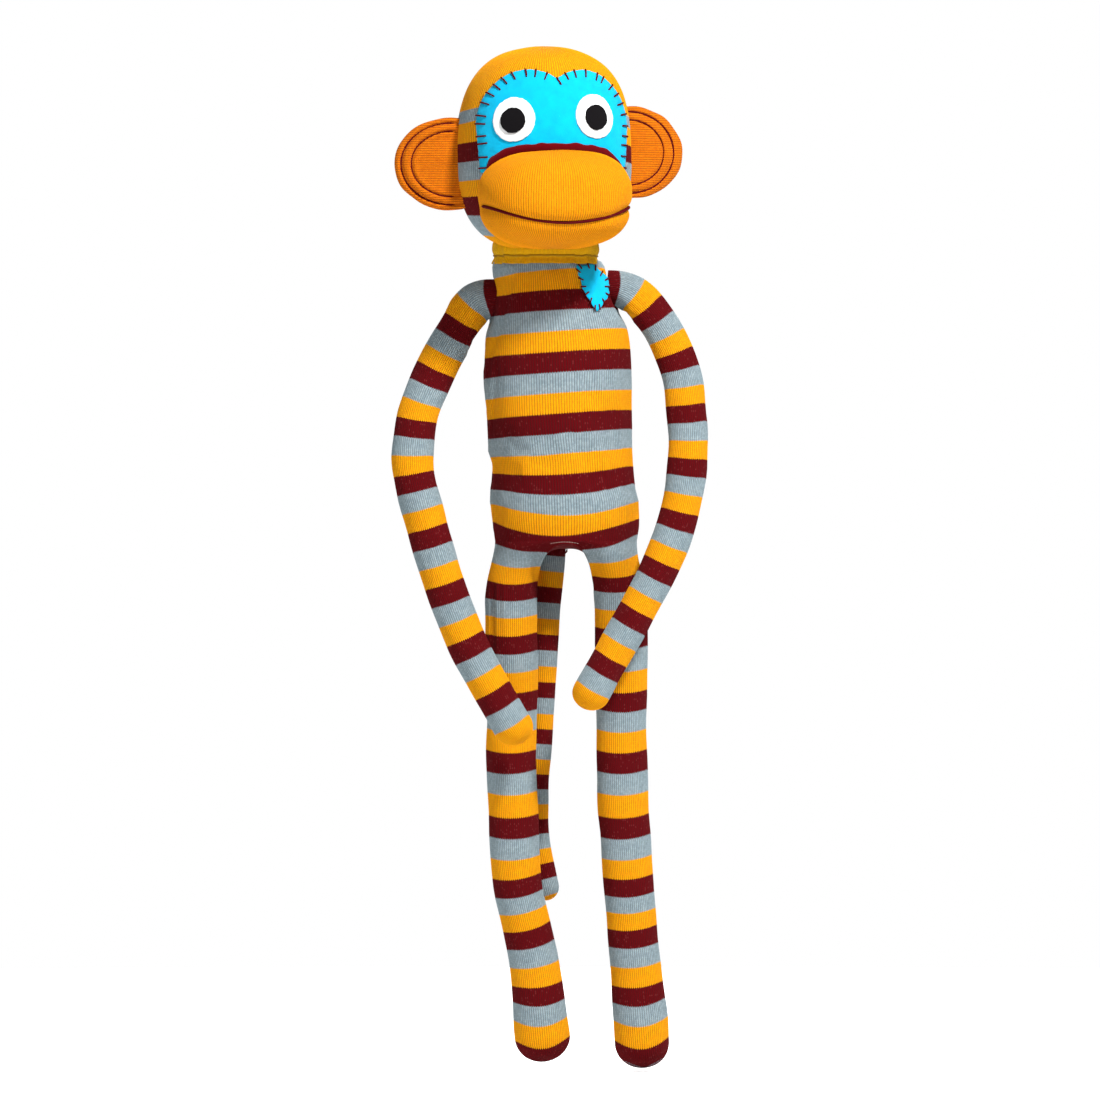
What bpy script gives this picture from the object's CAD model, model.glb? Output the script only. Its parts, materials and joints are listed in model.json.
"""The looks of the stuffed sock monkey: striped knit, felt and thread on the CAD frame.

Lengths are in millimetres until a mesh is made. A grid has rows (down) by columns (round) of x, y, z.
"""

import json
import math

import bpy
import numpy as np
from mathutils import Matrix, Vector, noise


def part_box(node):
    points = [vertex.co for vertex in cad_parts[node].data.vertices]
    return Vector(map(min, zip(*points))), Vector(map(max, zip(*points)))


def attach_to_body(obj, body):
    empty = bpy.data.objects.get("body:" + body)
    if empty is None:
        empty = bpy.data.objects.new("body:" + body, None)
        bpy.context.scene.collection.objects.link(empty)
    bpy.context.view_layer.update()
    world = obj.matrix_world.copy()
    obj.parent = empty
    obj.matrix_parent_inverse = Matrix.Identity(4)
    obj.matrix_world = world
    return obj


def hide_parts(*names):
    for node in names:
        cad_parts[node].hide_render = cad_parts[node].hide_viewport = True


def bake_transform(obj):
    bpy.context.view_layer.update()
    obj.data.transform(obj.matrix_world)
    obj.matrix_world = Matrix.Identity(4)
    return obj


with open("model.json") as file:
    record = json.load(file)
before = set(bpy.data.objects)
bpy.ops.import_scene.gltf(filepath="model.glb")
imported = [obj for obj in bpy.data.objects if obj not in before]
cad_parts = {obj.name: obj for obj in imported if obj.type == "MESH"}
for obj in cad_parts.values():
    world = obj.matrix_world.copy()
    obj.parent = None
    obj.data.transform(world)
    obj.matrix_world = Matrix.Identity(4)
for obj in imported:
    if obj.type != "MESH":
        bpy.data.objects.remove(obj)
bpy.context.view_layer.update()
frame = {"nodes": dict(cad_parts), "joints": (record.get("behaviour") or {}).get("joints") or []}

MM = 0.001
COLUMNS_PER_WALE = 4
ROW = 1.7
COURSE = 1.25
RIB = 0.24
FRONT = np.array([0.0, -1.0, 0.0])
UP = np.array([0.0, 0.0, 1.0])
WAY = {"right": -1.0, "left": 1.0}

# The trunk: columns round it, where it parts into the legs, and the seam between the legs.
TRUNK_WALES = 168
TRUNK_PLANE = -36.5
TRUNK_CUTS = [47.0, 30.0, 10.0, -10.0, -30.0, -50.0, -65.0, -78.0, -86.5]
YOKE_RADIUS = 29.0
YOKE_DROP = 2.0
SPLIT_HEIGHT = -88.0
SPLIT_ROWS = 26
SPLIT_END = -128.0
CROTCH_DROP = 5.0
SEAM_WALES = 10
SEAM = SEAM_WALES * COLUMNS_PER_WALE
SEAM_TURN = math.radians(5.0)
SEAM_TUCK = 22

# Stripes: a number counts the colour changes passed: grey from 0, orange from 1, maroon from 2, grey from 3.
STRIPE = 13.23
TRUNK_FIRST = (87.75, 1.0)
TRUNK_TILT = ([-84.0, -71.0, -52.0, -30.0], [0.06, 0.0, 0.06, 0.075])
TRUNK_SAG = ([-84.0, -71.0, -52.0, -30.0, 0.0, 60.0, 94.0], [12.0, 9.5, 5.0, 1.5, 0.0, 0.0, -2.0])
LEG_HEIGHTS = {
    "right": [-91.4, -102.7, -114.4, -126.4, -137.2, -148.9, -160.6, -172.3],
    "left": [-86.5, -97.5, -109.2, -120.2, -132.0, -144.3, -157.3, -171.6],
}
LOWER_LEG_HEIGHTS = [
    -185.3, -197.9, -210.9, -224.3, -237.9, -251.6, -266.5, -280.2, -293.8, -306.2, -317.9, -328.3, -339.3,
    -351.0, -363.4, -376.4, -388.7, -401.7, -416.3, -430.0,
]
FIRST_LEG_STRIPE = 15
STRIPE_BOW = 2.4
TOE_BOW = ([370.0, 412.0], [STRIPE_BOW, 7.0])
ARM_STRIPES = {"right": (2.25, 15.6, 28.0), "left": (2.35, 15.2, 28.0)}
LAST_STRIPE = 0.9
TAIL_STRIPES = ([-330.0, -314.0, -200.2, -97.0, -87.0], [26.0, 24.6, 13.0, 3.0, 2.0])
HEAD_STRIPES = (
    [100.0, 111.0, 124.0, 136.0, 146.0, 158.0, 170.0, 183.0, 191.0, 235.0],
    [8, 7, 6, 5, 4, 3, 2, 1, 0, -4],
)

# The limbs.
ARM_WALES = 60
ARM_TIP = 13.0
ARM_SLIM = {"right": 0.95, "left": 0.9}
TAIL_WALES = 40

# The head and its muzzle: their shapes are powers of an oval's, so that they are fuller than ovals.
HEAD_WALES = 168
HEAD_POWER = 2.65
HEAD_CENTRE = 163.0
HEAD_DOWN = 62.0
FACE_YAW = math.radians(10.0)
MUZZLE_WALES = 180
MUZZLE_ROWS = 92
MUZZLE_AHEAD = 41.0
MUZZLE_SIZE = np.array([49.5, 42.0, 33.0])
MUZZLE_HEIGHT = 134.5
MUZZLE_POWER = 2.6
MOUTH_HEIGHT = 117.0
MOUTH_RADIUS = 110.0
MOUTH_REACH = 48.4
MASK_FOOT = 150.0
MASK_STITCHES = 29
EYES = {"right": (-30.0, 184.0), "left": (25.4, 186.2)}
EAR_ROOTS = {"right": np.array([-68.0, -66.0, 156.5]), "left": np.array([41.5, -34.0, 165.0])}
EAR_SWEEPS = {"right": math.radians(4.0), "left": math.radians(28.0)}
EAR_REACH, EAR_HALF_HEIGHT, EAR_THICK = 37.0, 30.0, 7.0
EAR_SEAMS = (0.88, 0.70)

# The neck, the patch, and the stitches.
NECK_COLUMNS = 1000
NECK_ROWS = 26
NECK_SPLIT = 14
NECK_TUCK = 6.5
NECK_THREAD_ROW = 19
PATCH = np.array([(9.2, 90.5), (20.0, 91.8), (30.3, 83.0), (30.6, 71.5), (22.7, 60.5), (13.6, 75.0)])
PATCH_MIDDLE = np.array([22.0, 77.5])
PATCH_STITCHES = 15
CROTCH_STITCHES = 11
TAIL_STITCHES = 12

# The cloth that swells the knit: each point of it stands for this many rows and columns.
CLOTH_ROWS, CLOTH_COLUMNS = 5, 8
CLOTH_FRAMES = 14
CLOTH = {
    "quality": 4, "mass": 0.2, "shrink_min": -0.035, "use_pressure": True, "uniform_pressure_force": 4.0,
    "tension_stiffness": 12.0, "compression_stiffness": 12.0, "shear_stiffness": 4.0,
    "bending_stiffness": 0.4,
}

# The room: lamps by place, size and power, and a far camera.
LAMPS = {
    "key": ((0.9, -1.5, 1.7), 0.28, 84.0),
    "fill": ((-1.2, -1.6, 0.5), 0.9, 4.5),
    "back": ((-0.5, 1.7, 0.9), 0.9, 26.0),
}
ROOM_LIGHT = (0.03, 0.6)
CAMERA_AWAY = 9000.0
VIEW_HEIGHT = 715.0
VIEW_MIDDLE = (-7.8, -38.0, -93.6)


# ---- Reading the frame


def joint(name):
    return next(np.array(j["pos_m"]) for j in frame["joints"] if j["name"] == name) / MM


def box(node):
    low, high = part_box(node)
    return np.array(low) / MM, np.array(high) / MM


def foot(node):
    """The lowest height of a CAD node."""
    return box(node)[0][2]


def read(items, key, width, kind=float):
    """A value of every vertex, edge or corner of a mesh, as rows."""
    values = np.empty(len(items) * width, kind)
    items.foreach_get(key, values)
    return values.reshape(-1, width)


def edge_ends(node):
    """The two ends of every edge of a CAD node's mesh."""
    mesh = frame["nodes"][node].data
    return read(mesh.vertices, "co", 3)[read(mesh.edges, "vertices", 2, np.int32)] / MM


def level_extent(ends, height):
    """The lowest and highest x and y where the edges cross a level."""
    side = ends[:, :, 2] - height
    crossing = side[:, 0] * side[:, 1] < 0
    near, far = side[crossing, 0], side[crossing, 1]
    pairs = ends[crossing]
    cut = pairs[:, 0] + (near / (near - far))[:, None] * (pairs[:, 1] - pairs[:, 0])
    return cut.min(0), cut.max(0)


def middle_line(node, top, bottom, gap=6.0):
    """The middles and radii (x, y, z, radius) of a CAD limb between two heights, from level cuts."""
    ends = edge_ends(node)
    rows = []
    for height in np.linspace(top, bottom, max(2, int((top - bottom) / gap))):
        low, high = level_extent(ends, height)
        rows.append([(low[0] + high[0]) / 2, (low[1] + high[1]) / 2, height, (high[1] - low[1]) / 2])
    return np.array(rows)


# ---- Lines and rings


def smooth(t):
    t = np.clip(t, 0.0, 1.0)
    return t * t * (3 - 2 * t)


def bell(value, middle, width):
    return np.exp(-(((value - middle) / width) ** 2))


def signed_power(values, power):
    return np.sign(values) * np.abs(values) ** power


def wander(x, y, z):
    """Smooth noise at a place."""
    return noise.noise(Vector((x, y, z)))


def unit(vectors):
    """Vectors brought to length 1."""
    return vectors / np.maximum(np.linalg.norm(vectors, axis=-1, keepdims=True), 1e-9)


def turns(count):
    """Angles once round."""
    return np.linspace(0.0, 2 * math.pi, count, endpoint=False)


def path_length(points):
    return np.concatenate([[0.0], np.cumsum(np.linalg.norm(np.diff(points[:, :3], axis=0), axis=1))])


def between(at, known, rows):
    """Rows of numbers known at some places, read off at others."""
    return np.column_stack([np.interp(at, known, rows[:, k]) for k in range(rows.shape[1])])


def smoothed(line, rounds):
    """A line evened out, with its ends held."""
    for _ in range(rounds):
        line[1:-1] = (line[:-2] + 2 * line[1:-1] + line[2:]) / 4
    return line


def resample(rows, step, rounds=60):
    """Even steps along a line of points, smoothed while its ends stay where they are."""
    length = path_length(rows)
    even = np.linspace(0.0, length[-1], int(round(length[-1] / step)) + 1)
    return smoothed(between(even, length, rows), rounds)


def reach_tip(line, node):
    """Carry a line of middles and radii on to where the CAD limb's round tip is centred."""
    along = line[-1] - line[-2]
    steps = (line[-1, 2] - foot(node) - line[-1, 3]) / -along[2]
    return np.vstack([line, line[-1] + steps * np.array([*along[:3], 0.0])])


def with_tip(line, step):
    """A line of middles and radii, closed at its end with a dome."""
    along = unit(line[-1, :3] - line[-4, :3])
    radius = line[-1, 3]
    rise = np.linspace(0.0, math.pi / 2, int(radius * math.pi / 2 / step))[1:]
    rise[-1] = math.pi / 2 * 0.997
    dome = [[*(line[-1, :3] + along * radius * math.sin(a)), radius * math.cos(a)] for a in rise]
    return np.vstack([line, dome])


def rings(line, angles):
    """Circles round a line of middles and radii. Angle 0 is the side of -X, a quarter turn is the front."""
    along = unit(np.gradient(line[:, :3], axis=0))
    front = unit(FRONT - (along @ FRONT)[:, None] * along)
    side = np.cross(along, front)
    return line[:, None, :3] + line[:, None, 3:4] * circles(side, front, angles)


def circles(side, front, angles):
    """The ways out from a line: its side at angle 0, its front at a quarter turn."""
    return side[:, None] * np.cos(angles)[:, None] + front[:, None] * np.sin(angles)[:, None]


def normals_of(grid, closed=True):
    """The outward direction at each point of a grid."""
    if closed:
        across = np.roll(grid, -1, axis=1) - np.roll(grid, 1, axis=1)
    else:
        across = np.gradient(grid, axis=1)
    return unit(np.cross(np.gradient(grid, axis=0), across))


def picked_rows(grid, step):
    """Every so many rows of a grid, and its last."""
    return np.unique(np.append(np.arange(0, len(grid), step), len(grid) - 1))


def lumps(grid, size, amount, seed):
    """Soft unevenness, as stuffing shows through a knit, worked out on a coarse grid and spread."""
    row_picks = picked_rows(grid, 4)
    column_picks = np.arange(0, grid.shape[1] + 1, 4) % grid.shape[1]
    coarse = grid[row_picks][:, column_picks] / size + seed * 17.3
    values = np.array([wander(*p) for p in coarse.reshape(-1, 3)]).reshape(*coarse.shape[:2], 1)
    return normals_of(grid) * amount * spread(values, row_picks, grid.shape)


def spread(values, row_picks, shape):
    """Values known at some rows and columns (the last is the first again), at every point of a grid."""
    columns = np.linspace(0, shape[1], values.shape[1])
    wide = np.array([between(np.arange(shape[1]), columns, row) for row in values])
    at = np.interp(np.arange(shape[0]), row_picks, np.arange(len(row_picks)))
    low = np.minimum(at.astype(int), len(row_picks) - 2)
    share = (at - low)[:, None, None]
    return wide[low] * (1 - share) + wide[low + 1] * share


# ---- Meshes


def grid_faces(rows, columns, closed):
    r, c = np.meshgrid(np.arange(rows - 1), np.arange(columns if closed else columns - 1), indexing="ij")
    r, c = r.ravel(), c.ravel()
    after = (c + 1) % columns
    above, below = r * columns, (r + 1) * columns
    return np.stack([above + c, below + c, below + after, above + after], axis=1)


def grid_mesh(name, grid, material, closed=True, wale=None, course=None, stripe=None, normals=None):
    """A mesh object from a grid, with the knit's own coordinates and the count of stripes passed."""
    rows, columns = grid.shape[:2]
    faces = grid_faces(rows, columns, closed)
    mesh = bpy.data.meshes.new(name)
    mesh.vertices.add(rows * columns)
    mesh.vertices.foreach_set("co", (grid * MM).astype(np.float32).ravel())
    mesh.loops.add(faces.size)
    mesh.loops.foreach_set("vertex_index", faces.astype(np.int32).ravel())
    mesh.polygons.add(len(faces))
    mesh.polygons.foreach_set("loop_start", np.arange(0, faces.size, 4, dtype=np.int32))
    mesh.update(calc_edges=True)
    mesh.polygons.foreach_set("use_smooth", np.ones(len(faces), bool))
    if wale is not None:
        add_knit_map(mesh, faces, rows, columns, wale, course)
    if stripe is not None:
        count = mesh.attributes.new("stripe", "FLOAT", "POINT")
        count.data.foreach_set("value", np.broadcast_to(stripe, (rows, columns)).astype(np.float32).ravel())
    if normals is not None:
        mesh.normals_split_custom_set_from_vertices(normals.reshape(-1, 3).tolist())
    mesh.materials.append(material)
    return add_object(name, mesh)


def add_object(name, data):
    made = bpy.data.objects.new(name, data)
    bpy.context.scene.collection.objects.link(made)
    return made


def add_knit_map(mesh, faces, rows, columns, wale, course):
    """A UV map whose u counts the columns of stitches and v the rows of stitches."""
    u = np.tile(wale, (rows, 1)).ravel()[faces]
    wrapped = faces[:, 2] % columns == 0
    u[wrapped, 2:] = wale[-1] + wale[1] - wale[0]
    set_knit_map(mesh, np.stack([u, np.repeat(course, columns)[faces]], axis=2))


def set_knit_map(mesh, uv):
    layer = mesh.uv_layers.new(name="knit")
    layer.data.foreach_set("uv", uv.astype(np.float32).ravel())


def wales(columns):
    return np.arange(columns) / COLUMNS_PER_WALE


def rib(grid, normals, wale):
    """Sink the gaps between the columns of stitches a little under the columns."""
    spacing = np.linalg.norm(np.roll(grid, -1, axis=1) - grid, axis=2)
    lift = RIB * np.minimum(1.0, spacing / 0.25) * (np.sin(np.pi * (wale % 1.0)) ** 2 - 1.0)
    return grid + normals * lift[..., None]


class Sheet:
    """A piece of knit as one grid, from which the pieces that follow different bodies are taken."""

    def __init__(self, grid, stripe, swell, fade, wale=None):
        self.wale = wales(grid.shape[1]) if wale is None else wale
        self.grid = rib(grid + swell * end_fade(len(grid), *fade), normals_of(grid), self.wale)
        self.normals = normals_of(self.grid)
        middle = self.grid[:, :: COLUMNS_PER_WALE].mean(1)
        front = self.grid[:, self.grid.shape[1] // 4]
        self.course = np.maximum(path_length(middle), path_length(front)) / COURSE
        self.stripe = np.broadcast_to(stripe, self.grid.shape[:2])

    def piece(self, name, material, first, last):
        rows = slice(first, last + 1)
        by_row = self.course[rows], self.stripe[rows], self.normals[rows]
        return grid_mesh(name, self.grid[rows], material, True, self.wale, *by_row)


def end_fade(rows, head, tail):
    """1 in the middle of a sheet, falling to 0 at its first and last rows."""
    count = np.arange(rows)
    return (smooth(count / head) * smooth((rows - 1 - count) / tail))[:, None, None]


def attach(piece, bodies, nodes, slot, span=None):
    """Let a piece ride one body, or bend between two over a span, and say what it stands for and its slot."""
    if span is None:
        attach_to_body(piece, bodies[0])
    else:
        start, end = (np.array(p) if np.ndim(p) else np.array([0.0, 0.0, p]) for p in span)
        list(bodies)
        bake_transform(piece)
    if nodes:
        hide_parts(*nodes)


def cut_limb(sheet, side, limb, parts):
    """Take a limb's pieces from its sheet, by their first and last rows, bodies, span and CAD nodes."""
    for part, first, last, bodies, span, nodes in parts:
        piece = sheet.piece(f"{side}_{limb}_{part}", STRIPED, first, last)
        bodies = [body if body == "torso" else f"{side}_{body}" for body in bodies]
        attach(piece, bodies, [f"{side}_{node}" for node in nodes], "striped_knit", span)


def tube(points, radius, taper=True, sides=10):
    """A thread along a line of points."""
    line = np.asarray(points, float)
    radii = np.full(len(line), radius)
    if taper:
        ends = np.minimum(path_length(line), path_length(line)[-1] - path_length(line))
        radii = radius * np.sqrt(np.clip(ends / radius, 0.02, 1.0))
    along = unit(np.gradient(line, axis=0))
    across = unit(np.cross(along, FRONT + 0.01 * UP))
    ways = circles(across, np.cross(along, across), turns(sides))
    return (line[:, None] + radii[:, None, None] * ways)[:, ::-1]


def threads(name, lines, radius, material):
    """Many short threads as one mesh."""
    objects = [grid_mesh(f"{name}_{k}", tube(line, radius), material) for k, line in enumerate(lines)]
    first = objects[0]
    with bpy.context.temp_override(
        active_object=first, object=first, selected_editable_objects=objects, selected_objects=objects
    ):
        bpy.ops.object.join()
    first.name = name
    return first


def stitch(place, spot, way, steps, lead, drop, rise, sunk):
    """A thread that comes up through felt or knit, lies over an edge, and goes down again."""
    path = spot + steps[:, None] * way
    up = smooth(steps - steps[0] + lead)
    down = smooth((steps - steps[-1] + drop) / drop)
    return place(path[:, 0], path[:, 1], rise * up * (1 - down) + sunk)


# ---- Materials


class Nodes:
    """A short way to write a material: each call adds a node and returns one of its outputs."""

    def __init__(self, owner, surface="Principled BSDF"):
        owner.use_nodes = True
        self.owner = owner
        self.tree = owner.node_tree
        self.surface = self.tree.nodes[surface]

    def node(self, kind, out=0, settings=(), **inputs):
        made = self.tree.nodes.new(f"ShaderNode{kind}")
        for key, value in dict(settings).items():
            setattr(made, key, value)
        for key, value in inputs.items():
            self.feed(made.inputs[int(key[1:]) if key[1:].isdigit() else key.replace("_", " ")], value)
        return made.outputs[out]

    def feed(self, socket, value):
        if isinstance(value, bpy.types.NodeSocket):
            self.tree.links.new(value, socket)
        else:
            socket.default_value = value

    def finish(self, **inputs):
        for key, value in inputs.items():
            self.feed(self.surface.inputs[key.replace("_", " ")], value)
        return self.owner

    def finish_matt(self, colour, bump, rough, specular, sheen=0.0):
        reflection = {"Roughness": rough, "Specular_IOR_Level": specular, "Sheen_Weight": sheen}
        return self.finish(Base_Color=colour, Normal=bump, **reflection)

    def math(self, operation, a, b=0.0, c=0.0):
        return self.node("Math", 0, {"operation": operation}, i0=a, i1=b, i2=c)

    def times(self, a, b, plus=0.0):
        return self.math("MULTIPLY_ADD", a, b, plus)

    def mix(self, share, a, b, blend="MIX"):
        settings = {"data_type": "RGBA", "blend_type": blend}
        return self.node("Mix", 2, settings, i0=share, i6=a, i7=b)

    def noise(self, scale, detail, distortion=0.0):
        inputs = {"Scale": scale, "Detail": detail, "Distortion": distortion}
        return self.node("TexNoise", 0, {}, Vector=self.place(), **inputs)

    def shaded(self, share, colour):
        return self.mix(share, colour, self.mix(0.5, colour, BLACK))

    def bump(self, height, strength, depth):
        return self.node("Bump", Strength=strength, Distance=depth * MM, Height=height)

    def place(self):
        return self.node("TexCoord", 3)


def rgb(red, green, blue):
    """A colour as seen on a screen, in the renderer's own linear values."""
    shares = (red / 255, green / 255, blue / 255)
    return (*[((s + 0.055) / 1.055) ** 2.4 if s > 10 / 255 else s / 12.92 for s in shares], 1.0)


ORANGE = rgb(250, 160, 4)
LIT_ORANGE = rgb(255, 184, 4)
MAROON = rgb(98, 0, 8)
MAROON_FLECK = rgb(214, 120, 118)
GREY = rgb(128, 148, 157)
PALE_GREY = rgb(172, 190, 196)
NECK_YELLOW = rgb(250, 186, 10)
BLUE = rgb(6, 184, 228)
WHITE = rgb(240, 242, 242)
BLACK = rgb(18, 16, 18)
THREAD = rgb(88, 4, 12)
PALE_THREAD = rgb(214, 186, 176)
FIBRE_SHADE = rgb(60, 44, 40)
GAP_SHADE = (0.02, 0.01, 0.01, 1.0)
PAPER = (0.93, 0.93, 0.93, 1.0)
FULL_WHITE = (1.0, 1.0, 1.0, 1.0)
HEATHER = 0.5
FLECKS = 0.09


def knit_material(name, colours):
    """Knitted yarn: columns of V-shaped stitches, with the colour picked by the count of stripes passed."""
    n = Nodes(bpy.data.materials.new(name))
    stitches = n.node("UVMap", 0, {"uv_map": "knit"})
    wale, course = (n.node("SeparateXYZ", k, Vector=stitches) for k in (0, 1))
    arm = n.math("ABSOLUTE", n.times(n.math("FRACT", wale), 2.0, -1.0))
    step = n.times(arm, -0.75, course)
    cell = n.node("CombineXYZ", X=n.math("FLOOR", wale), Y=n.math("FLOOR", step))
    chance = n.node("TexWhiteNoise", 0, {"noise_dimensions": "2D"}, Vector=cell)
    fibres = n.noise(1400.0, 3.0)
    colour, maroon, edge = colours(n, arm, chance)
    colour = n.mix(n.times(fibres, 0.34), colour, FIBRE_SHADE, "MULTIPLY")
    gap = n.math("POWER", arm, 2.4)
    hump = n.math("SINE", n.times(n.math("FRACT", step), math.pi))
    shade = n.times(gap, 0.8, n.times(hump, -0.24, 0.24))
    colour = n.mix(shade, colour, n.mix(0.74, colour, GAP_SHADE))
    flecks = n.math("GREATER_THAN", chance, n.times(edge, -0.3, 0.9))
    flecks = n.times(n.times(flecks, maroon), FLECKS)
    centre = n.times(n.math("LESS_THAN", arm, 0.5), hump)
    colour = n.mix(n.times(flecks, centre), colour, MAROON_FLECK)
    height = n.times(gap, -0.6, n.times(hump, 0.4, 0.6))
    return n.finish_matt(colour, n.bump(n.times(fibres, 0.45, height), 0.7, 0.22), 0.88, 0.04, 0.015)


def striped(n, arm, chance):
    """Grey, orange and maroon in turn, and plain orange before the first stripe."""
    count = n.node("Attribute", 2, {"attribute_name": "stripe"})
    count = n.math("ADD", count, n.times(arm, 0.07, -0.035))
    kind = n.math("MODULO", n.math("FLOOR", n.math("ADD", count, 300.0)), 3.0)
    orange = n.math("MAXIMUM", n.math("COMPARE", kind, 1.0, 0.1), n.math("LESS_THAN", count, 0.0))
    maroon = n.times(n.math("COMPARE", kind, 2.0, 0.1), n.times(orange, -1.0, 1.0))
    patchy = n.math("ADD", chance, n.noise(160.0, 2.0))
    grey = n.mix(n.times(patchy, HEATHER), GREY, PALE_GREY)
    sunny = n.mix(n.times(chance, 0.5), ORANGE, LIT_ORANGE)
    colour = n.mix(orange, n.mix(maroon, grey, MAROON), sunny)
    edge = n.times(n.math("ABSOLUTE", n.math("SUBTRACT", n.math("FRACT", count), 0.5)), 2.0)
    return colour, maroon, n.math("POWER", edge, 14.0)


def plain(base, other):
    """One colour that changes a little from stitch to stitch, with no maroon in it and no stripe's edge."""
    return lambda n, arm, chance: (n.mix(n.times(chance, 0.5), base, other), 0.0, 0.0)


def felt_material(name, colour, shade, fuzz=0.06):
    """Matted wool: darker blotches, and hairs that lie all ways."""
    n = Nodes(bpy.data.materials.new(name))
    matted = n.math("POWER", n.noise(170.0, 8.0), 1.6)
    hairs = n.noise(900.0, 4.0, 2.5)
    bump = n.bump(n.times(matted, 0.6, n.times(hairs, 0.6)), 0.6, 0.35)
    return n.finish_matt(n.shaded(n.times(matted, shade), colour), bump, 0.95, 0.05, fuzz)


def thread_material(name, colour):
    """Twisted thread."""
    n = Nodes(bpy.data.materials.new(name))
    twist = n.node("TexWave", 1, {"bands_direction": "DIAGONAL"}, Vector=n.place(), Scale=420.0)
    return n.finish_matt(n.shaded(n.times(twist, 0.4), colour), n.bump(twist, 0.8, 0.2), 0.8, 0.08)


STRIPED = knit_material("striped_knit", striped)
PLAIN = knit_material("orange_knit", plain(rgb(250, 152, 4), rgb(255, 172, 6)))
EAR_KNIT = knit_material("ear_knit", plain(rgb(222, 112, 6), rgb(240, 134, 8)))
NECK = knit_material("neck_knit", plain(NECK_YELLOW, rgb(255, 204, 20)))
BLUE_FELT = felt_material("blue_felt", BLUE, 0.75)
MAROON_FELT = felt_material("maroon_felt", MAROON, 0.4)
WHITE_FELT = felt_material("white_felt", WHITE, 0.1)
BLACK_FELT = felt_material("black_felt", BLACK, 0.4, 0.02)
DARK_THREAD = thread_material("dark_thread", THREAD)
LIGHT_THREAD = thread_material("light_thread", PALE_THREAD)


# ---- Stuffing pressed into the knit: a short cloth simulation on a coarse copy of each sheet


def settle(name, grid, held_from, held_to, limit):
    """How far each point of a sheet moves when the knit is stuffed, with the rows near its ends held."""
    row_picks = picked_rows(grid, CLOTH_ROWS)
    coarse = grid[row_picks][:, ::CLOTH_COLUMNS]
    obj = grid_mesh(f"{name}_cloth", coarse, STRIPED)
    held = obj.vertex_groups.new(name="held")
    columns = coarse.shape[1]
    last = len(row_picks) - 1
    seams = [r for r in range(last + 1) if r <= held_from * last or r >= held_to * last]
    held.add([r * columns + c for r in seams for c in range(columns)], 1.0, "REPLACE")
    cloth = obj.modifiers.new("cloth", "CLOTH")
    for key, value in CLOTH.items():
        setattr(cloth.settings, key, value)
    cloth.settings.vertex_group_mass = "held"
    cloth.settings.effector_weights.gravity = 0.15
    cloth.point_cache.frame_end = CLOTH_FRAMES
    scene = bpy.context.scene
    for count in range(1, CLOTH_FRAMES + 1):
        scene.frame_set(count)
    shaped = obj.evaluated_get(bpy.context.evaluated_depsgraph_get())
    shift = read(shaped.data.vertices, "co", 3).reshape(coarse.shape) / MM - coarse
    scene.frame_set(1)
    bpy.data.objects.remove(obj)
    shift = unit(shift) * limit * np.tanh(np.linalg.norm(shift, axis=2, keepdims=True) / limit)
    return spread(np.concatenate([shift, shift[:, :1]], axis=1), row_picks, grid.shape)


# ---- The trunk and the legs: one striped tube that parts in two


def trunk_line():
    """Sections of the CAD trunk, (height, x, half width, half depth), leaving out where the arms go in."""
    ends = edge_ends("torso_cover")
    top = box("torso_cover")[1][2]
    heights = np.array([top - 0.4, top - 3.0, *TRUNK_CUTS])
    rows = []
    for height in heights:
        low, high = level_extent(ends, height)
        rows.append([(low[0] + high[0]) / 2, (high[0] - low[0]) / 2, TRUNK_PLANE - low[1]])
    even = np.linspace(top, SPLIT_HEIGHT, int((top - SPLIT_HEIGHT) / ROW) + 1)
    return smoothed(np.column_stack([even, between(-even, -heights, np.array(rows))]), 40)


TRUNK_LINE = trunk_line()


def trunk_grid(line, angles):
    """Ovals with a flatter back. Angle 0 is the side of -X."""
    height, side, half_width, half_depth = (line[:, k][:, None] for k in range(4))
    near_top = np.clip((height - height.max() + 14.0) / 14.0, 0.0, 1.0)
    ahead = np.maximum(np.sin(angles), 0.0) * half_depth
    behind = np.maximum(-np.sin(angles), 0.0) ** 0.8 * (-TRUNK_PLANE - 1.2) * (1.0 - 0.3 * near_top**2)
    grid = np.empty((len(line), len(angles), 3))
    grid[:, :, 0] = side - half_width * np.cos(angles)
    grid[:, :, 1] = TRUNK_PLANE - ahead + np.minimum(behind, half_depth)
    grid[:, :, 2] = height
    return grid


def yoke(top, angles):
    """Rows that close the trunk's top, rising inward under the neck band."""
    low, high = box("neck_band")
    middle = (low + high)[:2] / 2
    inside = middle - YOKE_RADIUS * np.column_stack([np.cos(angles), np.sin(angles)])
    level = low[2] - YOKE_DROP
    shares = np.linspace(0.0, 0.9, 8)
    rows = [[*(inside + (top[:, :2] - inside) * s).T, level - (level - top[:, 2]) * s**3] for s in shares]
    return np.array(rows).transpose(0, 2, 1)


def trunk_stripe(grid):
    """The count of stripes passed. The rows of knit are a little higher on the left and sag at the hips."""
    aside = grid[..., 0] - 2.0
    sag = np.interp(grid[..., 2], *TRUNK_SAG)
    tilt = np.interp(grid[..., 2], *TRUNK_TILT)
    level = grid[..., 2] - tilt * aside - sag * (aside / 48.0) ** 2
    return np.maximum(TRUNK_FIRST[1] + (TRUNK_FIRST[0] - level) / STRIPE, 0.05)


def leg_stripe(side, height):
    heights = LEG_HEIGHTS[side] + LOWER_LEG_HEIGHTS
    return np.interp(-height, [-h for h in heights], FIRST_LEG_STRIPE + np.arange(len(heights)))


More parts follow.
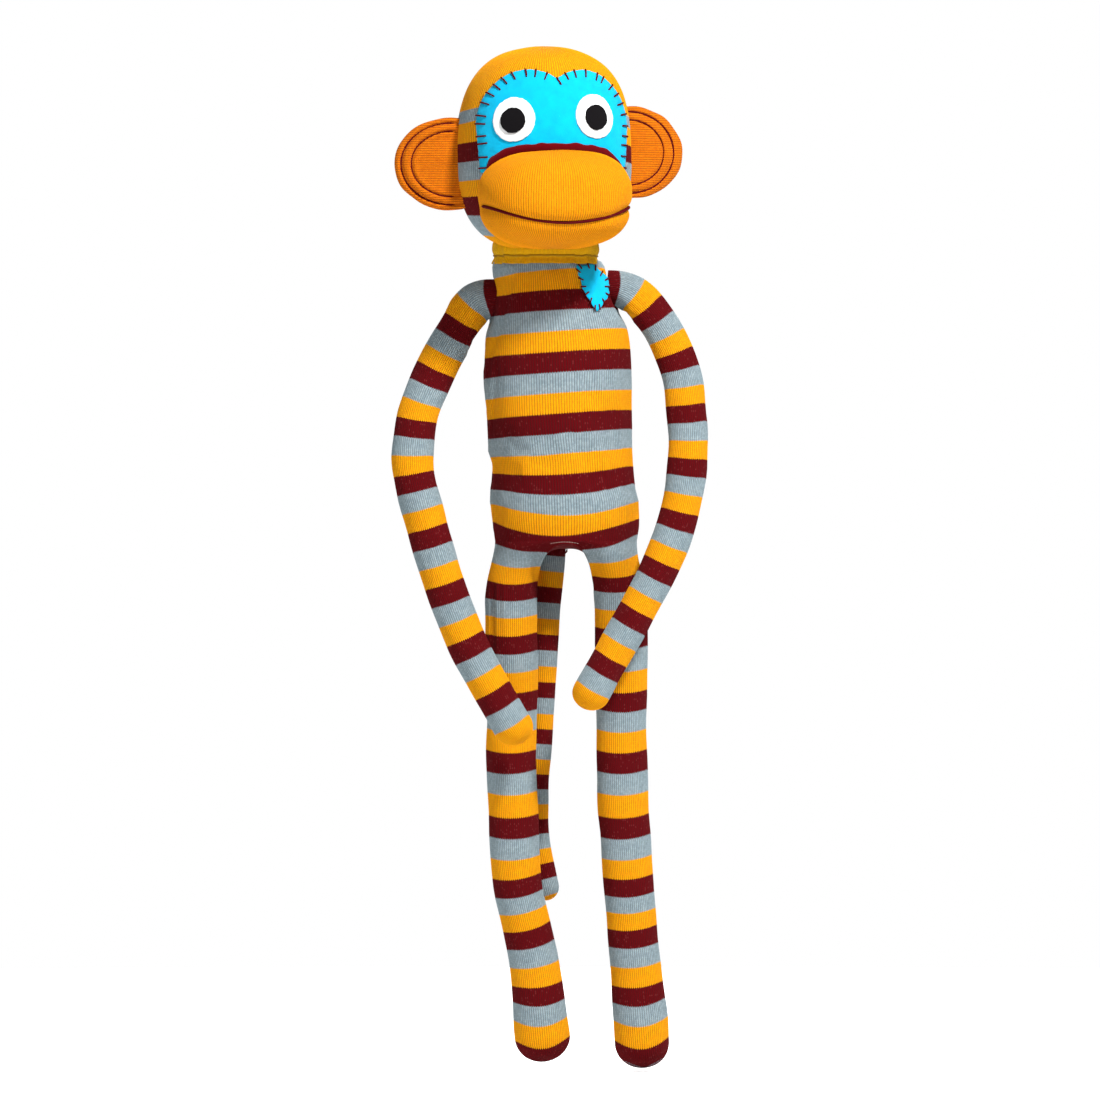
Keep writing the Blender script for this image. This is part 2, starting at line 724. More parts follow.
def leg_line(side):
    """The middle line of a leg from below the crotch to the toe."""
    thigh, shin = f"{side}_thigh_cover", f"{side}_shin_cover"
    upper = middle_line(thigh, SPLIT_END, foot(thigh) + 1.0)
    lower = middle_line(shin, joint(f"{side}_knee_bend")[2] - 4.0, foot(shin) + 19.0)
    line = resample(np.vstack([upper, lower]), ROW)
    line[:, 3] += 0.1
    return line


def split_rows(side, top_row, line, angles):
    """Rows that lead from half of the trunk's last ring, and the seam beside it, to a leg's first ring."""
    columns = len(top_row)
    share = np.linspace(0.0, 1.0, SEAM + 1)[1:-1]
    outer = np.arange(columns - SEAM + 1)
    near = 0.8 * bell(np.minimum(outer, outer[::-1]), 0.0, 62.0)
    push = np.concatenate([near, 0.8 + 0.2 * np.sin(math.pi * share)])[:, None]
    start = (1 - push) * (-UP * 30.0) + push * np.array([WAY[side] * 66.0, 0.0, 8.0])
    t = np.linspace(0.0, 1.0, SPLIT_ROWS)[:, None, None]
    from_top, leaving = 2 * t**3 - 3 * t**2 + 1, t**3 - 2 * t**2 + t
    to_ring, arriving = -2 * t**3 + 3 * t**2, t**3 - t**2
    ring = rings(line[:2], angles)[0]
    return from_top * top_row + leaving * start + to_ring * ring + arriving * (-UP * 34.0)


def leg_angles(side, outer):
    """Where each column sits round the leg: the trunk's half covers most of it, the seam the inner side."""
    edge = np.minimum(np.arange(outer - 1), np.arange(outer - 1)[::-1])
    width = 0.08 + 0.92 * smooth((edge - SEAM_TUCK * 0.5) / SEAM_TUCK)
    share = np.concatenate([[0.0], np.cumsum(width)]) / width.sum()
    outside = -math.pi + SEAM_TURN + share * 2 * (math.pi - SEAM_TURN)
    inner = np.linspace(math.pi - SEAM_TURN, math.pi + SEAM_TURN, SEAM + 1)[1:-1]
    angles = np.concatenate([outside, inner])
    return angles if side == "right" else math.pi + angles


def crotch_line(start, end):
    """From the middle of the front down under the crotch to the middle of the back, or the other way."""
    share = np.linspace(0.0, 1.0, SEAM + 1)[1:-1]
    line = start + (end - start) * ((1 - np.cos(math.pi * share)) / 2)[:, None]
    line[:, 2] -= CROTCH_DROP * np.sin(math.pi * share) ** 0.7
    return line


def make_trunk_and_legs():
    columns = TRUNK_WALES * COLUMNS_PER_WALE
    quarter, half = columns // 4, columns // 2
    body = trunk_grid(TRUNK_LINE, turns(columns))
    plain_trunk = np.vstack([yoke(body[0], turns(columns)), body])
    swell = settle("trunk", plain_trunk, 0.0, 1.0, 1.3) + lumps(plain_trunk, 26.0, 1.1, 1)
    trunk = Sheet(plain_trunk, trunk_stripe(plain_trunk), swell, (8, 10))
    shoulder_crease(trunk)
    torso = trunk.piece("torso_knit", STRIPED, 0, len(plain_trunk) - 1)
    attach(torso, ["torso"], ["torso_cover", "torso_stuffing"], "striped_knit")
    hem = plain_trunk[-1]
    front, back = hem[quarter], hem[quarter + half]
    for side, start, under in (
        ("right", quarter + half, crotch_line(front, back)),
        ("left", quarter, crotch_line(back, front)),
    ):
        picks = (start + np.arange(half + 1)) % columns
        make_leg(side, np.vstack([hem[picks], under]), trunk.grid[-1][picks], start / COLUMNS_PER_WALE)


def shoulder_crease(trunk):
    """Draw the trunk's knit in a little where the arms are sewn on."""
    for side in WAY:
        away = np.linalg.norm(trunk.grid - joint(f"{side}_shoulder_swing"), axis=2)
        trunk.grid -= trunk.normals * 1.6 * bell(away, 15.0, 4.0)[..., None]
    trunk.normals = normals_of(trunk.grid)


def make_leg(side, top_row, trunk_edge, first_wale):
    outer = len(trunk_edge)
    angles = leg_angles(side, outer)
    line = leg_line(side)
    upper = split_rows(side, top_row, line, angles)
    whole = with_tip(line, ROW)
    plain_leg = np.vstack([upper, rings(whole, angles)[1:]])
    middle = np.concatenate([upper.mean(1)[:, 2], whole[1:, 2]])
    share = smooth(np.arange(len(plain_leg)) / (SPLIT_ROWS - 1))[:, None]
    level = plain_leg[..., 2] * (1 - share) + middle[:, None] * share
    bowed = level - np.interp(-level, *TOE_BOW) * np.cos(angles) ** 2
    stripe = trunk_stripe(plain_leg) * (1 - share) + leg_stripe(side, bowed) * share
    swell = settle(f"{side}_leg", plain_leg, 0.08, 1.0, 1.2)
    swell += lumps(plain_leg, 24.0, 0.9, {"right": 2, "left": 3}[side])
    leg = Sheet(plain_leg, stripe, swell, (8, 16), first_wale + wales(len(angles)))
    leg.grid[0, :outer] = trunk_edge
    cut_limb(leg, side, "leg", leg_parts(side, leg.grid[:, :, 2].min(1)))


def leg_parts(side, heights):
    """Where a leg's sheet is cut, and which bodies each piece follows over which heights."""
    hip, knee = joint(f"{side}_hip_swing")[2], joint(f"{side}_knee_bend")[2]
    collar, thigh, shin = (int(np.argmax(heights < at)) for at in (hip - 9.0, hip - 34.0, (hip + knee) / 2))
    return [
        ("top", 0, collar, ["torso", "hip"], (hip + 16.0, hip - 8.0), ["hip_wad"]),
        ("hip", collar, thigh, ["hip", "thigh"], (hip - 10.0, hip - 32.0), []),
        ("thigh", thigh, shin, ["thigh"], None, ["thigh_cover", "thigh_stuffing"]),
        (
            "shin", shin, len(heights) - 1, ["thigh", "shin"], (knee + 20.0, knee - 20.0),
            ["shin_cover", "shin_stuffing"],
        ),
    ]


# ---- The arms and the tail


def arm_line(side):
    """The middle line of an arm, from inside the trunk to the tip of the hand."""
    shoulder, elbow = joint(f"{side}_shoulder_swing"), joint(f"{side}_elbow_bend")
    upper, fore = f"{side}_upper_arm_cover", f"{side}_forearm_cover"
    root = np.array([
        [*(shoulder + [-WAY[side] * 15.0, 0.0, 4.0]), 12.5],
        [*(shoulder + [WAY[side], 0.0, 3.0]), 14.6],
    ])
    upper_line = middle_line(upper, shoulder[2] - 16.0, foot(upper) + 12.0)
    fore_line = reach_tip(middle_line(fore, elbow[2] - 10.0, foot(fore) + 24.0), fore)
    line = resample(np.vstack([root, upper_line, fore_line]), ROW, 36)
    line[:, 3] *= ARM_SLIM[side]
    return with_tip(line, ROW)


def arm_stripe(side, line, angles):
    """The count of stripes: the last is the hand's tip, and each bows a little toward its sides."""
    length = path_length(line)
    start, middle, last = ARM_STRIPES[side]
    stops = [0.0, 0.5 * (length[-1] - ARM_TIP), length[-1] - ARM_TIP, length[-1]]
    count = np.interp(length, stops, [start, middle, last, last + LAST_STRIPE])[:, None]
    return np.minimum(count + STRIPE_BOW / STRIPE * (np.cos(angles) ** 2 - 0.5), last + LAST_STRIPE)


def make_arm(side):
    line = arm_line(side)
    angles = turns(ARM_WALES * COLUMNS_PER_WALE)
    plain_arm = rings(line, angles)
    swell = settle(f"{side}_arm", plain_arm, 0.05, 1.0, 1.1)
    swell += lumps(plain_arm, 22.0, 0.9, {"right": 4, "left": 5}[side])
    arm = Sheet(plain_arm, arm_stripe(side, line, angles), swell, (6, 14))
    cut_limb(arm, side, "arm", arm_parts(side, line))


def arm_parts(side, line):
    """Where an arm's sheet is cut, and which bodies each piece follows over which span of its line."""
    shoulder, elbow = joint(f"{side}_shoulder_swing"), joint(f"{side}_elbow_bend")
    spine, along = line[:, :3], path_length(line)
    at_shoulder, at_elbow = (along[np.argmin(np.linalg.norm(spine - p, axis=1))] for p in (shoulder, elbow))
    stops = (at_shoulder + 5.0, at_shoulder + 30.0, at_elbow - 26.0)
    sleeve, upper, lower = cuts = [int(np.argmax(along > stop)) for stop in stops]
    down = [unit(spine[cut + 1] - spine[cut - 1]) for cut in cuts]
    root_span = (spine[sleeve] - down[0] * 13.0, spine[sleeve] - down[0] * 0.5)
    sleeve_span = (spine[sleeve] + down[0] * 0.5, spine[upper] - down[1] * 1.5)
    elbow_span = (elbow - down[2] * 18.0, elbow + down[2] * 18.0)
    return [
        ("root", 0, sleeve, ["torso", "shoulder"], root_span, ["shoulder_wad"]),
        ("sleeve", sleeve, upper, ["shoulder", "upper_arm"], sleeve_span, []),
        ("upper", upper, lower, ["upper_arm"], None, ["upper_arm_cover", "upper_arm_stuffing"]),
        (
            "lower", lower, len(line) - 1, ["upper_arm", "forearm"], elbow_span,
            ["forearm_cover", "forearm_stuffing"],
        ),
    ]


def make_tail():
    root, bend = joint("tail_swing"), joint("tail_bend")
    base = middle_line("tail_base_cover", root[2] - 3.0, foot("tail_base_cover") + 1.0)
    tip = middle_line("tail_tip_cover", bend[2] - 3.0, foot("tail_tip_cover") + 9.5)
    start = np.array([[*(root + [1.0, -1.0, 12.0]), 8.4]])
    line = with_tip(resample(np.vstack([start, base, tip]), ROW), ROW)
    plain_tail = rings(line, turns(TAIL_WALES * COLUMNS_PER_WALE))
    stripe = np.interp(line[:, 2], *TAIL_STRIPES)[:, None]
    tail = Sheet(plain_tail, stripe, lumps(plain_tail, 18.0, 0.6, 6), (6, 3))
    cut = int(np.argmax(line[:, 2] < (root[2] + bend[2]) / 2))
    for part, first, last, bodies, span in (
        ("base", 0, cut, ["torso", "tail_base"], (root[2] + 8.0, root[2] - 14.0)),
        ("tip", cut, len(line) - 1, ["tail_base", "tail_tip"], (bend[2] + 13.0, bend[2] - 13.0)),
    ):
        piece = tail.piece(f"tail_{part}_knit", STRIPED, first, last)
        attach(piece, bodies, [f"tail_{part}_cover", f"tail_{part}_stuffing"], "striped_knit", span)


# ---- The head


class Face:
    """Places on the head: how far to the side of the face's middle, how high, and how far off the surface."""

    def __init__(self):
        low, high = box("head_cover")
        self.radius = (high[0] - low[0]) / 2
        self.axis = np.array([(low[0] + high[0]) / 2, (low[1] + high[1]) / 2, 0.0])
        self.up = high[2] - HEAD_CENTRE
        self.ahead = np.array([math.sin(FACE_YAW), -math.cos(FACE_YAW), 0.0])
        self.aside = np.array([math.cos(FACE_YAW), math.sin(FACE_YAW), 0.0])

    def at(self, aside, forward, height):
        """The point this far to the side and ahead of the head's axis, at a height."""
        aside, forward, height = (np.asarray(v, float)[..., None] for v in (aside, forward, height))
        return self.axis + aside * self.aside + forward * self.ahead + height * UP

    def width(self, height, off=0.0):
        reach = np.where(height > HEAD_CENTRE, self.up, HEAD_DOWN) + off
        share = np.clip(np.abs(height - HEAD_CENTRE) / reach, 0.0, 0.9999)
        return (self.radius + off) * (1 - share**HEAD_POWER) ** (1 / HEAD_POWER)

    def on_head(self, aside, height, off=0.0):
        return self.at(aside, np.sqrt(np.maximum(self.width(height, off) ** 2 - aside**2, 1.0)), height)

    def on_muzzle(self, aside, height, off=0.0):
        """The front of the muzzle at a place to the side and a height."""
        across, depth, rise = MUZZLE_SIZE + off
        beside, level = np.abs(aside / across), np.abs((height - MUZZLE_HEIGHT) / rise)
        share = np.clip(1 - beside**MUZZLE_POWER - level**MUZZLE_POWER, 0.0, 1.0)
        return self.at(aside, MUZZLE_AHEAD + depth * np.sqrt(share), height)


face = Face()


def head_line():
    """The head's axis and radii, from its crown to its foot, in even steps over its surface."""
    tilt = np.linspace(0.004, math.pi - 0.004, 600)
    reach = np.where(np.cos(tilt) > 0, face.up, HEAD_DOWN)
    height = HEAD_CENTRE + reach * signed_power(np.cos(tilt), 2 / HEAD_POWER)
    radius = face.radius * np.abs(np.sin(tilt)) ** (2 / HEAD_POWER)
    length = path_length(np.column_stack([height, radius]))
    line = np.column_stack([np.tile(face.axis[:2], (len(tilt), 1)), height, radius])
    return between(np.linspace(0.0, length[-1], int(length[-1] / ROW)), length, line)


def make_head():
    line = head_line()
    angles = turns(HEAD_WALES * COLUMNS_PER_WALE)
    around = np.stack([-np.cos(angles), -np.sin(angles), np.zeros(len(angles))], axis=1)
    plain_head = line[:, None, :3] + line[:, None, 3:] * around
    ahead, beside = around @ face.ahead, around @ face.aside
    height = plain_head[..., 2]
    stripe = np.interp(height - head_slope(height, ahead, beside), *HEAD_STRIPES)
    swell = settle("head", plain_head, 0.03, 0.97, 0.9) + lumps(plain_head, 34.0, 0.9, 7)
    calm = 1 - 0.85 * smooth((np.abs(ahead) - 0.2) / 0.5) * (ahead > 0)
    head = Sheet(plain_head, stripe, swell * calm[None, :, None], (6, 6))
    piece = head.piece("head_knit", STRIPED, 0, len(line) - 1)
    attach(piece, ["head"], ["head_cover", "head_stuffing"], "striped_knit")


def head_slope(height, ahead, beside):
    """The knit's rows dip and rise round the head: higher toward the face above, lower below."""
    upper = smooth((height - 150.0) / 40.0)
    lower = smooth((150.0 - height) / 40.0)
    return (3.5 * upper - 3.0 * lower) * ahead - 4.0 * (beside > 0) * upper * beside


def even_turns(across, deep, first, last, count):
    """Angles that are evenly spaced along an outline of the muzzle."""
    turn = np.linspace(first, last, 4000)
    outline = np.column_stack([across * signed_power(np.cos(turn), 2 / MUZZLE_POWER), deep * np.sin(turn)])
    length = path_length(outline)
    return np.interp(np.linspace(0.0, length[-1], count), length, turn)


def mouth_height(aside):
    return MOUTH_HEIGHT + MOUTH_RADIUS - np.sqrt(MOUTH_RADIUS**2 - aside**2)


def make_muzzle():
    across, depth, rise = MUZZLE_SIZE
    power = 2 / MUZZLE_POWER
    tilt = even_turns(rise, depth, 0.002, math.pi - 0.002, MUZZLE_ROWS)[:, None]
    angles = even_turns(across, depth, 0.0, 2 * math.pi, MUZZLE_WALES * COLUMNS_PER_WALE + 1)[:-1]
    aside = -signed_power(np.cos(angles), power) * np.sin(tilt) ** power * across
    forward = MUZZLE_AHEAD + np.sin(angles) * np.sin(tilt) * depth
    height = (MUZZLE_HEIGHT + rise * signed_power(np.cos(tilt), power)) * np.ones(len(angles))
    grid = face.at(aside, forward, height)
    above_mouth = height - mouth_height(aside)
    pull = 0.9 * bell(above_mouth, 13.0, 9.0) - 2.2 * bell(above_mouth, 0.0, 3.2)
    pull *= smooth((forward - 20.0) / 30.0)
    swell = settle("muzzle", grid, 0.04, 0.96, 1.0) + normals_of(grid) * pull[..., None]
    muzzle = Sheet(grid, 0.0, swell + lumps(grid, 22.0, 0.9, 8), (5, 5))
    piece = muzzle.piece("muzzle_knit", PLAIN, 0, MUZZLE_ROWS - 1)
    attach(piece, ["head"], ["muzzle_cover", "muzzle_stuffing"], "orange_knit")
    aside = np.linspace(-MOUTH_REACH, MOUTH_REACH, 120)
    path = face.on_muzzle(aside, mouth_height(aside), -1.35)
    thread = grid_mesh("mouth_thread", tube(path, 1.0), DARK_THREAD)
    attach(thread, ["head"], ["mouth_line"], "dark_thread")


def arc(start, middle, end, count):
    """Points along the circle through three points of a plane."""
    start, middle, end = (complex(*point) for point in (start, middle, end))
    ratio = (end - start) / (middle - start)
    centre = start + (middle - start) * (ratio - abs(ratio) ** 2) / (2j * ratio.imag)
    sweep = np.angle((end - centre) / (start - centre))
    points = centre + (start - centre) * np.exp(1j * sweep * np.linspace(0.0, 1.0, count))
    return np.column_stack([points.real, points.imag])


def mask_outline():
    """Half of the mask's edge, from the notch in its top: a hump, a corner and a straight side."""
    hump = arc((0.0, 210.5), (17.0, 216.5), (36.0, 209.5), 60)
    corner = arc((36.0, 209.5), (45.8, 197.0), (49.5, 179.0), 50)
    side = np.column_stack([np.linspace(49.5, 47.5, 40), np.linspace(179.0, MASK_FOOT, 40)])
    return resample(np.vstack([hump, corner[1:], side[1:]]), 0.8, 6)


def patch_of_felt(name, outline, middle, place, material, thickness=1.3, rough=0.25, seed=1, lift=0.0):
    """A flat cut shape of felt laid on a surface: rings out from its middle, then its cut edge."""
    outline = outline + rough * np.array([
        [wander(x / 2.2, y / 2.2, seed), wander(x / 2.2, y / 2.2, -seed)] for x, y in outline
    ])
    reach = np.linspace(0.0005, 1.0, 44) ** 0.9
    rows = [middle + s * (outline - middle) for s in reach]
    offs = [thickness * (1 - 0.35 * smooth((s - 0.95) / 0.05)) for s in reach]
    rows += [outline, outline, middle + 0.93 * (outline - middle)]
    offs += [thickness * 0.45, 0.05, -0.4]
    grid = np.array([place(row[:, 0], row[:, 1], off + lift) for row, off in zip(rows, offs)])
    face_up = grid[: len(reach)]
    ripple = np.array([wander(*(p / 9.0)) for p in face_up.reshape(-1, 3)]).reshape(*face_up.shape[:2], 1)
    face_up += normals_of(grid)[: len(reach)] * 0.22 * ripple * (reach < 0.97)[:, None, None]
    return grid_mesh(name, grid, material)


def make_mask():
    half = mask_outline()
    right = half[::-1] * np.array([-1.0, 1.0])
    bottom = np.column_stack([np.linspace(-47.0, 47.0, 118)[1:-1], np.full(116, MASK_FOOT)])
    outline = np.vstack([half, bottom[::-1], right[:-1]])
    mask = patch_of_felt("mask_felt", outline[::-1], np.array([0.0, 186.0]), face.on_head, BLUE_FELT)
    attach(mask, ["head"], ["face_mask"], "blue_felt")
    edge = np.vstack([right, half])
    length = path_length(edge)
    lines = []
    for k in range(MASK_STITCHES):
        share = (k + 0.3 * wander(k * 3.1, 0.5, 0.0)) / (MASK_STITCHES - 1)
        at = 3.0 + (length[-1] - 6.0) * share
        spot, after = between([at, at + 1.0], length, edge)
        ahead = after - spot
        way = unit(np.array([ahead[1], -ahead[0]])) + 0.12 * ahead * wander(k * 2.3, 7.0, 0.0)
        steps = np.linspace(-1.0, 4.9 + 0.8 * wander(k * 1.7, 3.0, 0.0), 12)
        lines.append(stitch(face.on_head, spot, way, steps, 0.2, 0.7, 1.45, 0.25))
    stitches = threads("mask_stitches", lines, 0.55, DARK_THREAD)
    attach(stitches, ["head"], ["mask_stitching"], "dark_thread")


def muzzle_edge(turn):
    """Where the muzzle meets the head, going out from its middle: (aside, height)."""
    shares = np.linspace(0.6, 1.0, 160)
    aside = shares * MUZZLE_SIZE[0] * signed_power(math.cos(turn), 2 / MUZZLE_POWER)
    height = MUZZLE_HEIGHT + shares * MUZZLE_SIZE[2] * signed_power(math.sin(turn), 2 / MUZZLE_POWER)
    out = (face.on_head(aside, height, 0.2) - face.on_muzzle(aside, height)) @ face.ahead
    pick = int(np.argmax(out > 0)) if (out > 0).any() else len(shares) - 1
    return aside[pick], height[pick]


def make_trim():
    """The strip of maroon felt tucked between the muzzle and the mask."""
    angles = np.linspace(math.radians(152.0), math.radians(22.0), 200)
    edge = smoothed(np.array([muzzle_edge(turn) for turn in angles]), 12)
    along = np.gradient(edge, axis=0)
    away = unit(np.column_stack([-along[:, 1], along[:, 0]]))
    wave = np.array([wander(aside / 7.0, 2.0, 0.0) for aside in edge[:, 0]])
    share = np.linspace(0.0, 1.0, len(angles))
    edge -= away * 1.6
    tall = 1.6 + (2.9 + 1.5 * wave) * smooth((1.0 - share) / 0.4) ** 0.7 * smooth(share / 0.1)
    tucked = face.on_head(*(edge - away * 2.5).T, 0.6)
    rows = [tucked]
    for reach, off in (
        (0.0, 2.4), (0.2, 2.8), (0.4, 3.1), (0.6, 3.2), (0.8, 3.0), (0.95, 2.6), (1.0, 1.9), (0.94, 1.0),
    ):
        rows.append(face.on_head(*(edge + away * (tall * reach)[:, None]).T, off))
    trim = grid_mesh("muzzle_trim_felt", np.array(rows)[::-1], MAROON_FELT, closed=False)
    attach(trim, ["head"], ["muzzle_trim"], "maroon_felt")


def make_eyes():
    for side, (yaw, height) in EYES.items():
        for part, radius, lift, material, slot, drop in (
            ("eye_white", 14.4, 1.25, WHITE_FELT, "white_felt", 0.0),
            ("pupil", 8.2, 2.45, BLACK_FELT, "black_felt", 0.6),
        ):
            seed = 3.0 * WAY[side] + lift
            spokes = np.array([[math.cos(turn), math.sin(turn)] for turn in turns(150)])
            cut = radius * (1 + 0.02 * np.array([wander(x * 1.6, y * 1.6, seed) for x, y in spokes]))
            place = disc_place(yaw, height - drop)
            name = f"{side}_{part}"
            shape = (cut[:, None] * spokes, np.zeros(2), place, material, 1.25, 0.35, seed, lift)
            attach(patch_of_felt(f"{name}_felt", *shape), ["head"], [name], slot)


def disc_place(yaw, height):
    """Places on the head round a point of it: steps to the side are taken round the head."""
    def place(aside, rise, off):
        width = face.width(height + rise, off)
        turn = FACE_YAW + math.radians(yaw) + aside / face.radius
        return face.axis + np.stack([width * np.sin(turn), -width * np.cos(turn), height + rise], axis=-1)
    return place


# ---- The ears


def ear_root(outward):
    """Stop the ear just inside the head."""
    return np.where(outward < 0.0, -14.0 * np.tanh(-outward / 14.0), outward)


def ear_grid(middle, out, through):
    """A flat stuffed oval with two rings of stitching drawn in, and the share of its size at each row."""
    turn = turns(320)
    tilt = np.linspace(0.0005, math.pi - 0.0005, 130)[:, None]
    share = np.sin(tilt) ** 0.8
    bulge = signed_power(np.cos(tilt), 0.62)
    groove = 0.5 * bell(share, EAR_SEAMS[0], 0.035) + 0.36 * bell(share, EAR_SEAMS[1], 0.035)
    inner = smooth((EAR_SEAMS[1] + 0.05 - share) / 0.2)
    outward = ear_root(EAR_REACH * share * np.cos(turn))
    rise = EAR_HALF_HEIGHT * share * np.sin(turn)
    depth = EAR_THICK * bulge * (1 - groove) * (1 - 0.3 * inner)
    depth = depth * (1 - 0.35 * smooth((8.0 - outward) / 12.0))
    depth += 0.28 * np.sign(bulge) * np.sin(rise * math.pi / 1.6) ** 2
    grid = middle + outward[..., None] * out + rise[..., None] * UP + depth[..., None] * through
    if np.dot(np.cross(out, UP), through) > 0:
        grid = grid[:, ::-1]
    return grid + lumps(grid, 14.0, 0.8, 9), share[:, 0]


def make_ear(side):
    root, sweep = EAR_ROOTS[side], EAR_SWEEPS[side]
    out = np.array([WAY[side] * math.cos(sweep), math.sin(sweep), 0.0])
    through = np.array([-WAY[side] * math.sin(sweep), -math.cos(sweep), 0.0])
    middle = root + out * 4.0
    grid, share = ear_grid(middle, out, through)
    ear = grid_mesh(f"{side}_ear_knit", grid, EAR_KNIT)
    corners = grid.reshape(-1, 3)[read(ear.data.loops, "vertex_index", 1, np.int32)[:, 0]]
    set_knit_map(ear.data, np.column_stack([corners[:, 2] / 1.5, corners @ out / COURSE]))
    bodies = ["head", f"{side}_ear"]
    span = (root - out * 6.0, root + out * 6.0)
    attach(ear, bodies, [f"{side}_ear_cover", f"{side}_ear_padding"], "orange_knit", span)
    seams = []
    for seam in EAR_SEAMS:
        row = int(np.argmax(share > seam))
        for level in (row, len(share) - 1 - row):
            path = grid[level][::4]
            seams.append(cut_open(path[(path - middle) @ out > -4.0]))
    stitching = threads(f"{side}_ear_threads", seams, 0.62, DARK_THREAD)
    attach(stitching, bodies, [f"{side}_ear_stitching"], "dark_thread", span)


def cut_open(path):
    """A ring of points with a piece missing, started at the missing piece."""
    gaps = np.linalg.norm(np.roll(path, -1, axis=0) - path, axis=1)
    return np.roll(path, -int(np.argmax(gaps)) - 1, axis=0)


# ---- The neck, the patch and the small stitches


def neck_grid(low, high):
    """A smooth band gathered in folds under the chin, from inside the head down to the trunk."""
    middle = (low + high) / 2
    angles = turns(NECK_COLUMNS)
    share = np.linspace(0.0, 1.0, NECK_ROWS)[:, None]
    spokes = [(math.cos(a), math.sin(a)) for a in angles]
    folds = np.array([wander(x * 4, y * 4, 0) + 0.5 * wander(x * 11, y * 11, 4) for x, y in spokes])
    gathered = 0.3 + 0.7 * smooth((np.cos(angles) + 0.1) / 0.8)
    pinch = 0.25 + bell(share, 0.62, 0.22)
    radius = np.interp(share, [0.0, 0.2, 0.4, 1.0], [27.0, 30.5, 32.5, 34.6])
    radius = radius + 2.1 * folds * gathered * (1.25 - pinch * 0.2)
    radius += 1.3 * np.sin(math.pi * share) - 1.9 * bell(share, 0.80, 0.13)
    grid = np.empty((NECK_ROWS, NECK_COLUMNS, 3))
    grid[..., 0] = middle[0] - radius * np.cos(angles)
    grid[..., 1] = middle[1] - radius * np.sin(angles)
    grid[..., 2] = np.linspace(high[2] + NECK_TUCK, low[2] - 2.5, NECK_ROWS)[:, None] + 0.6 * folds
    return grid


def make_neck():
    """The gathered band as two pieces that meet at a shared ring, and its gathering thread."""
    low, high = box("neck_band")
    grid = neck_grid(low, high)
    course = np.linspace(0.0, high[2] + NECK_TUCK - low[2] + 2.5, NECK_ROWS) / COURSE
    shared = grid[NECK_SPLIT, :, 2]
    upper, lower = slice(0, NECK_SPLIT + 1), slice(NECK_SPLIT, NECK_ROWS)
    lower_span, upper_span = (low[2] - 1.0, shared.min() - 0.3), (shared.max() + 0.3, high[2] + 2.0)
    for part, rows, bodies, nodes, span in (
        ("band", lower, ["torso", "neck"], ["neck_band", "neck_stuffing"], lower_span),
        ("collar", upper, ["neck", "head"], [], upper_span),
    ):
        piece = grid_mesh(f"neck_knit_{part}", grid[rows], NECK, True, wales(NECK_COLUMNS), course[rows])
        attach(piece, bodies, nodes, "neck_knit", span)
    path = np.vstack([grid[NECK_THREAD_ROW], grid[NECK_THREAD_ROW, :2]])[::6]
    ring = grid_mesh("neck_gathering_thread", tube(path, 0.7, False), NECK)
    attach(ring, ["torso", "neck"], ["neck_thread"], "dark_thread", (low[2] - 1.0, high[2] - 4.0))


def on_trunk(aside, height, off=0.0):
    """The front of the trunk at x and a height."""
    side, half_width, half_depth = between(-height, -TRUNK_LINE[:, 0], TRUNK_LINE[:, 1:]).T
    share = np.clip(1 - ((aside - side) / (half_width + off)) ** 2, 0.0, 1.0)
    return np.stack([aside, TRUNK_PLANE - (half_depth + off) * np.sqrt(share), height], axis=-1)


def make_patch():
    outline = resample(np.vstack([PATCH, PATCH[:1]]), 0.7, 3)[:-1]
    patch = patch_of_felt("patch_felt", outline[::-1], PATCH_MIDDLE, on_trunk, BLUE_FELT, 1.4, 0.7, 5)
    attach(patch, ["torso"], ["chest_patch"], "blue_felt")
    lines = []
    for k in range(PATCH_STITCHES):
        spot = outline[int(len(outline) * (k + 0.5) / PATCH_STITCHES)]
        steps = np.linspace(-1.3, 2.9, 9)
        lines.append(stitch(on_trunk, spot, unit(PATCH_MIDDLE - spot), steps, 0.1, 0.6, 1.6, 0.2))
    stitches = threads("patch_stitches", lines, 0.5, DARK_THREAD)
    attach(stitches, ["torso"], ["patch_stitching"], "dark_thread")


def make_crotch_stitches():
    """A short curved row of pale stitches above the parting of the legs."""
    lines = []
    for k in range(CROTCH_STITCHES):
        step = k - CROTCH_STITCHES // 2
        height = SPLIT_HEIGHT - 0.4 - 1.2 * (step / 5.5) ** 2
        lines.append(on_trunk(1.6 + step * 1.7 + np.array([-0.4, 0.0, 0.4]), np.full(3, height), 0.1))
    row = threads("crotch_stitches", lines, 0.3, LIGHT_THREAD)
    attach(row, ["torso"], ["crotch_stitching"], "dark_thread")


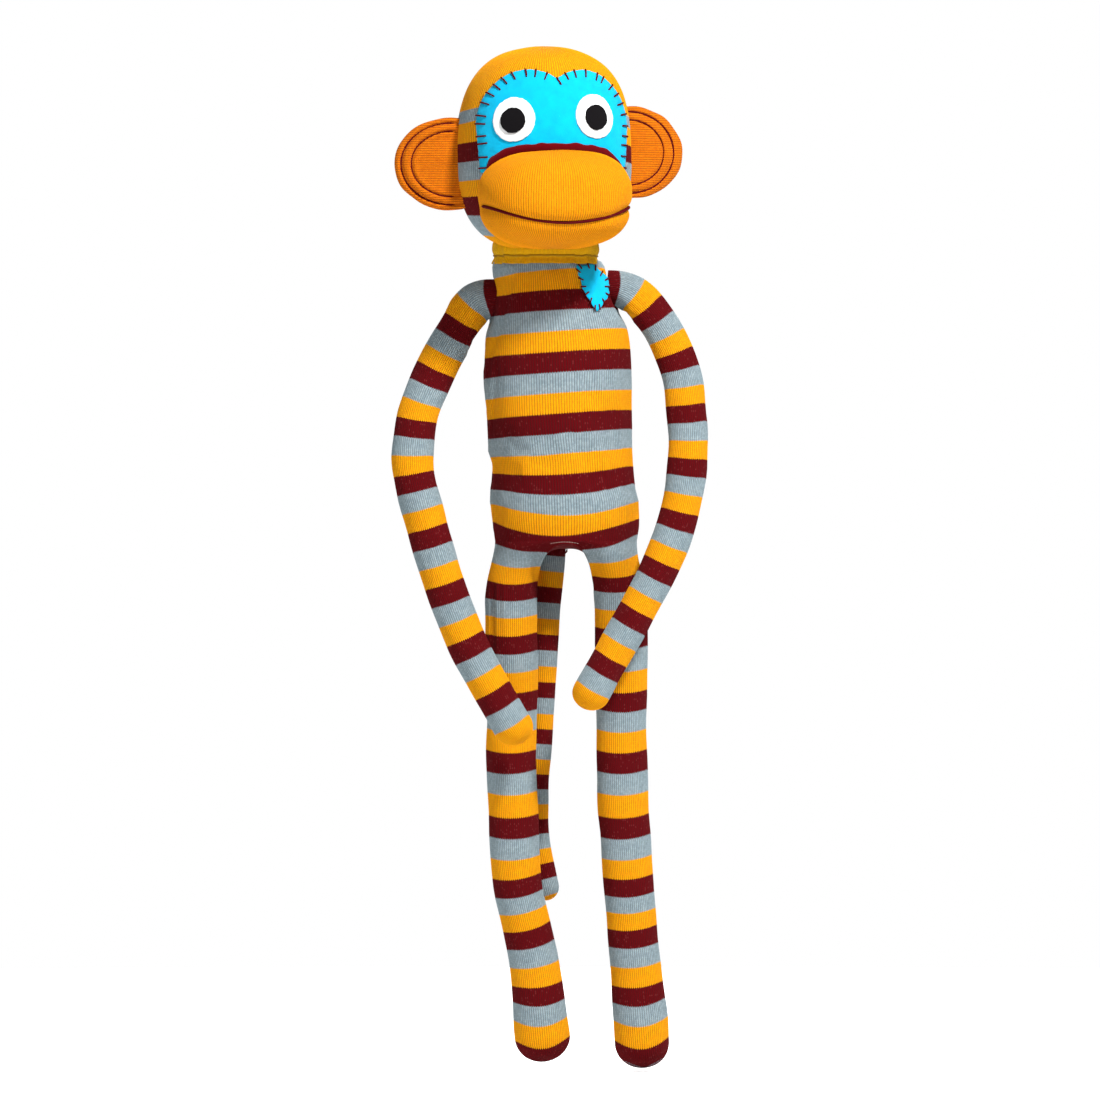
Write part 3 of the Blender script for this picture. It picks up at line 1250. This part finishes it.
def make_tail_stitches():
    """Whip stitches round the tail's root."""
    root = joint("tail_swing")
    lines = []
    for turn in turns(TAIL_STITCHES):
        spoke = np.array([math.cos(turn), math.sin(turn), 0.0])
        lines.append([root + spoke * out + UP * up for out, up in ((8.3, 2.0), (9.6, 4.0), (10.0, 7.0))])
    whip = threads("tail_stitches", lines, 0.6, DARK_THREAD)
    attach(whip, ["torso"], ["tail_stitching"], "dark_thread")


# ---- The stage


def make_floor():
    height = foot("left_shin_cover") - 0.8
    bpy.ops.mesh.primitive_circle_add(vertices=96, radius=2.2, fill_type="NGON", location=(0, 0, height * MM))
    floor = bpy.context.object
    floor.name = "floor"
    paper = Nodes(bpy.data.materials.new("paper"))
    glow = paper.times(paper.node("LightPath"), 0.5)
    paper.finish(Base_Color=PAPER, Roughness=0.9, Emission_Color=FULL_WHITE, Emission_Strength=glow)
    floor.data.materials.append(paper.owner)


def make_room():
    """White to the camera, and lit softly from above for everything else."""
    sky = Nodes(bpy.data.worlds.new("world"), "Background")
    level = sky.node("SeparateXYZ", 2, Vector=sky.node("TexCoord"))
    low, high = ROOM_LIGHT
    glow = sky.node("MapRange", Value=level, From_Min=-0.7, To_Min=low, To_Max=high)
    seen = sky.node("Mix", Factor=sky.node("LightPath"), A=glow, B=1.0)
    bpy.context.scene.world = sky.finish(Strength=seen, Color=FULL_WHITE)
    for name, (place, size, power) in LAMPS.items():
        data = bpy.data.lights.new(name, "AREA")
        data.size = size
        data.energy = power
        lamp = add_object(name, data)
        lamp.location = place
        lamp.rotation_euler = (-Vector(place)).to_track_quat("-Z", "Y").to_euler()


def make_camera():
    data = bpy.data.cameras.new("camera")
    data.angle = 2 * math.atan(VIEW_HEIGHT / 2 / CAMERA_AWAY)
    camera = add_object("camera", data)
    camera.location = Vector(VIEW_MIDDLE) * MM - Vector((0.0, CAMERA_AWAY * MM, 0.0))
    camera.rotation_euler = (math.pi / 2, 0.0, 0.0)
    bpy.context.scene.camera = camera
    bpy.context.scene.view_settings.view_transform = "Standard"


# ---- Everything


make_trunk_and_legs()
for part_side in WAY:
    make_arm(part_side)
    make_ear(part_side)
make_tail()
make_head()
make_muzzle()
make_mask()
make_trim()
make_eyes()
make_neck()
make_patch()
make_crotch_stitches()
make_tail_stitches()
make_floor()
make_room()
make_camera()
